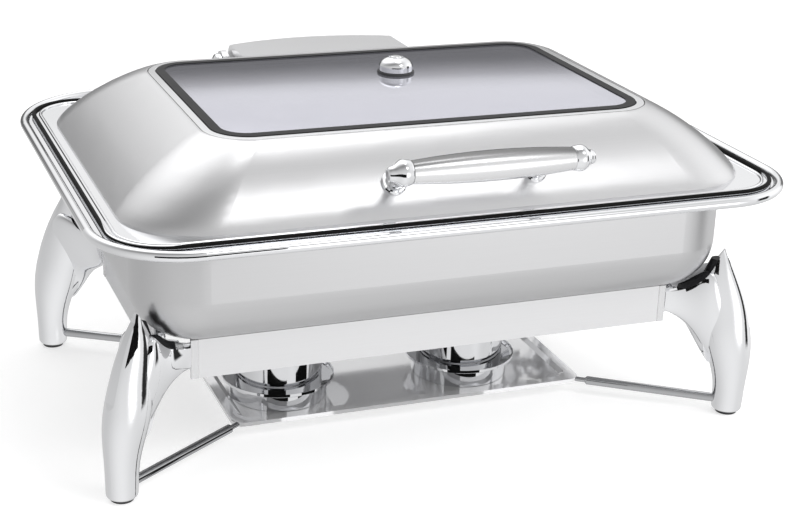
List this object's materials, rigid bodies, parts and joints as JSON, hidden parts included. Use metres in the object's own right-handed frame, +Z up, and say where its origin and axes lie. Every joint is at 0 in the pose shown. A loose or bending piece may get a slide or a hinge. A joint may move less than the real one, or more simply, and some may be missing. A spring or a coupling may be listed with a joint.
{
  "type": "hydraulic chafing dish",
  "caption": "Oblong stainless buffet food warmer: windowed lid on a damped rear hinge, water pan with food pan, rail stand on curved legs, fuel tray with burners.",
  "frame": {"origin": "on the table, at the centre between the four feet and under the middle of the dish", "axes": "+Z up, +X to the dish's right along its length, -Y towards the person at the lid handle"},
  "size_m": [0.594, 0.4876, 0.2965],
  "materials": {
    "satin_steel": "fine satin stainless steel",
    "polished_steel": "mirror-polished stainless steel",
    "smoked_glass": "smoky toughened glass",
    "black_rubber": "black silicone rubber",
    "damper_steel": "dark painted damper housing",
    "can_tin": "plain tinned can",
    "washer_grey": "grey silicone rubber"
  },
  "bodies": {
    "stand": {"rail_front": "satin_steel", "rail_rear": "satin_steel", "rail_left": "satin_steel", "rail_right": "satin_steel", "leg_front_right": "polished_steel", "leg_front_left": "polished_steel", "leg_rear_right": "polished_steel", "leg_rear_left": "polished_steel", "tie_rod_front_right": "polished_steel", "tie_rod_front_left": "polished_steel", "tie_rod_rear_right": "polished_steel", "tie_rod_rear_left": "polished_steel", "leg_nuts": "polished_steel", "pan_cushions": "black_rubber", "foot_pads": "black_rubber", "fuel_tray": "polished_steel"},
    "pan": {"water_pan": "satin_steel", "pan_rim": "polished_steel", "food_pan": "satin_steel", "hinge_base": "satin_steel", "hinge_damper": "damper_steel", "hinge_screws": "polished_steel", "hinge_nuts": "polished_steel"},
    "lid": {"lid_dome": "satin_steel", "lid_rim": "polished_steel", "window_bezel": "polished_steel", "window_gasket": "black_rubber", "window_glass": "smoked_glass", "vent_washer": "washer_grey", "vent_stem": "polished_steel", "vent_nut": "polished_steel", "handle_bar": "satin_steel", "handle_cap_right": "polished_steel", "handle_cap_left": "polished_steel", "handle_post_right": "polished_steel", "handle_post_left": "polished_steel", "handle_screws": "polished_steel", "hinge_pin": "polished_steel", "hinge_arm_right": "satin_steel", "hinge_arm_left": "satin_steel", "hinge_hood": "satin_steel"},
    "vent": {"vent_cap": "polished_steel"},
    "burner_left": {"burner_holder_left": "polished_steel", "cover_pin_left": "polished_steel"},
    "can_left": {"fuel_can_left": "can_tin"},
    "cover_left": {"burner_cover_left": "polished_steel"},
    "burner_right": {"burner_holder_right": "polished_steel", "cover_pin_right": "polished_steel"},
    "can_right": {"fuel_can_right": "can_tin"},
    "cover_right": {"burner_cover_right": "polished_steel"}
  },
  "joints": [
    {"name": "pan_lift", "type": "slide", "parent": "stand", "child": "pan", "axis": [0, 0, 1], "range_m": [0, 0.08]},
    {"name": "lid_hinge", "type": "hinge", "parent": "pan", "child": "lid", "pos_m": [0, 0.215, 0.25], "axis": [-1, 0, 0], "range_deg": [0, 90]},
    {"name": "vent_turn", "type": "hinge", "parent": "lid", "child": "vent", "pos_m": [0.02, 0.031, 0.29], "axis": [0, 0, 1], "range_deg": [0, 90]},
    {"name": "burner_left_lift", "type": "slide", "parent": "stand", "child": "burner_left", "axis": [0, 0, 1], "range_m": [0, 0.02]},
    {"name": "can_left_lift", "type": "slide", "parent": "burner_left", "child": "can_left", "axis": [0, 0, 1], "range_m": [0, 0.03]},
    {"name": "cover_left_swing", "type": "hinge", "parent": "burner_left", "child": "cover_left", "pos_m": [-0.1072, 0.024, 0.06], "axis": [0, 0, 1], "range_deg": [-110, 0]},
    {"name": "burner_right_lift", "type": "slide", "parent": "stand", "child": "burner_right", "axis": [0, 0, 1], "range_m": [0, 0.02]},
    {"name": "can_right_lift", "type": "slide", "parent": "burner_right", "child": "can_right", "axis": [0, 0, 1], "range_m": [0, 0.03]},
    {"name": "cover_right_swing", "type": "hinge", "parent": "burner_right", "child": "cover_right", "pos_m": [0.0668, 0.024, 0.06], "axis": [0, 0, 1], "range_deg": [-110, 0]}
  ]
}
